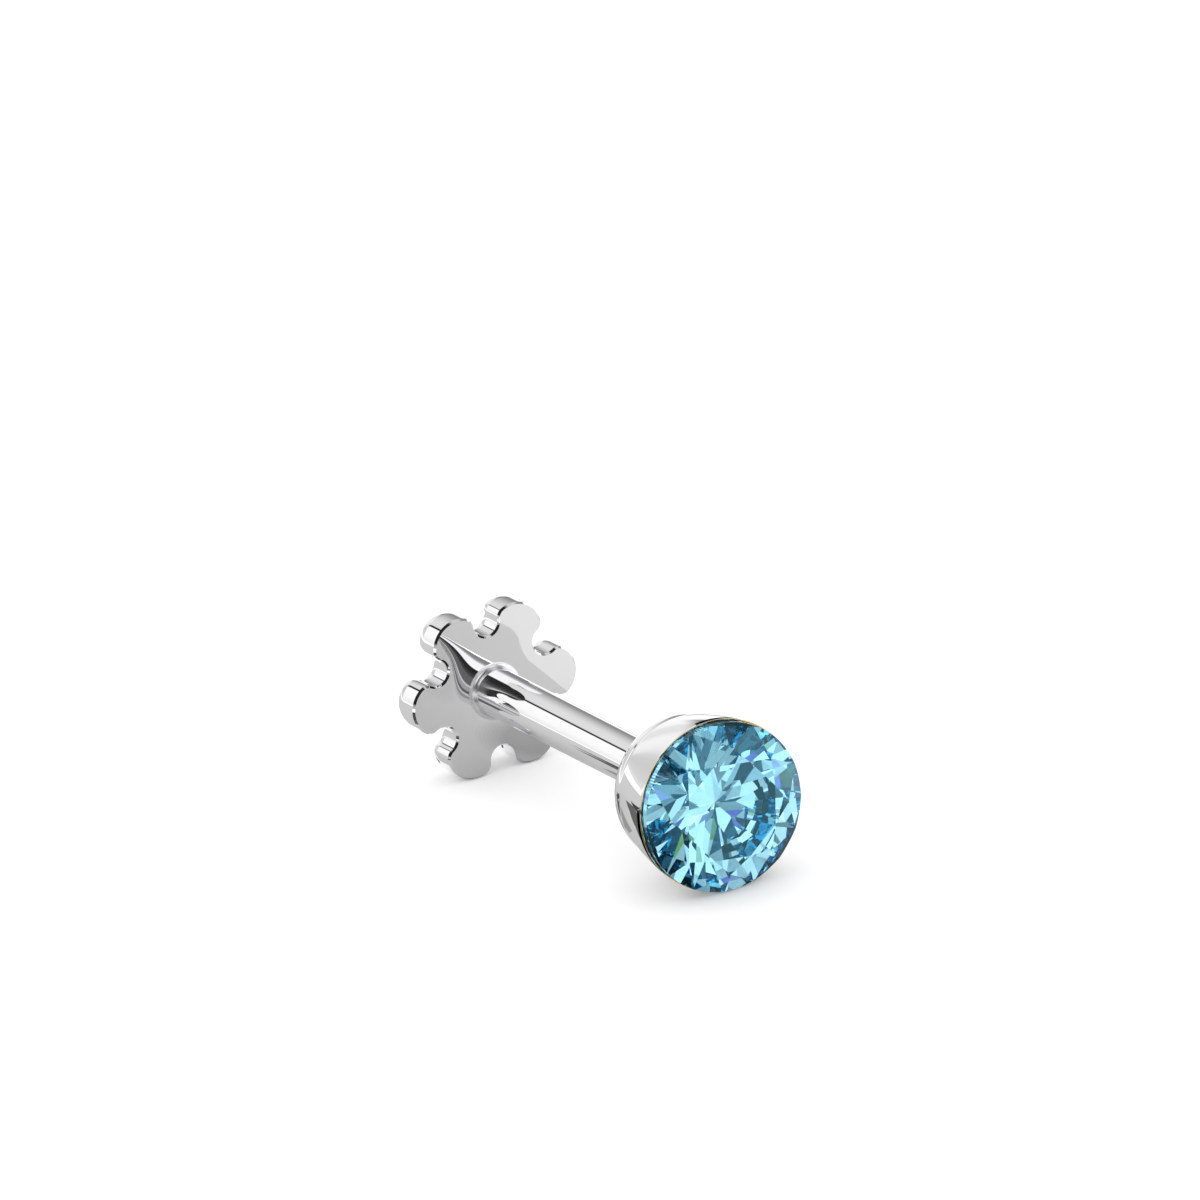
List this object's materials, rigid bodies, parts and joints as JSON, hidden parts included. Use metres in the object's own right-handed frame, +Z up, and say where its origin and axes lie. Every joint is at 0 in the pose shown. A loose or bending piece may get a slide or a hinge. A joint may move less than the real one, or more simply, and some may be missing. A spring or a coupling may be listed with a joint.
{
  "type": "threaded ear stud",
  "caption": "Polished white metal ear stud with a flower-shaped flat back, a straight post, a cup setting and a round blue faceted stone, lying on its side.",
  "frame": {"origin": "on the surface the stud lies on, under the middle of its bounding box", "axes": "+Z up from that surface, -Y the way the stone faces, +Y the way the disc's outer face looks; the post runs along Y, its stone end 0.47 degrees higher"},
  "size_m": [0.0042, 0.0124, 0.004],
  "materials": {
    "blue_stone": "cut and polished transparent sky blue gemstone",
    "polished_metal": "mirror-polished white gold"
  },
  "bodies": {
    "root": {"stone": "blue_stone", "setting": "polished_metal", "flat_back": "polished_metal"}
  },
  "joints": []
}
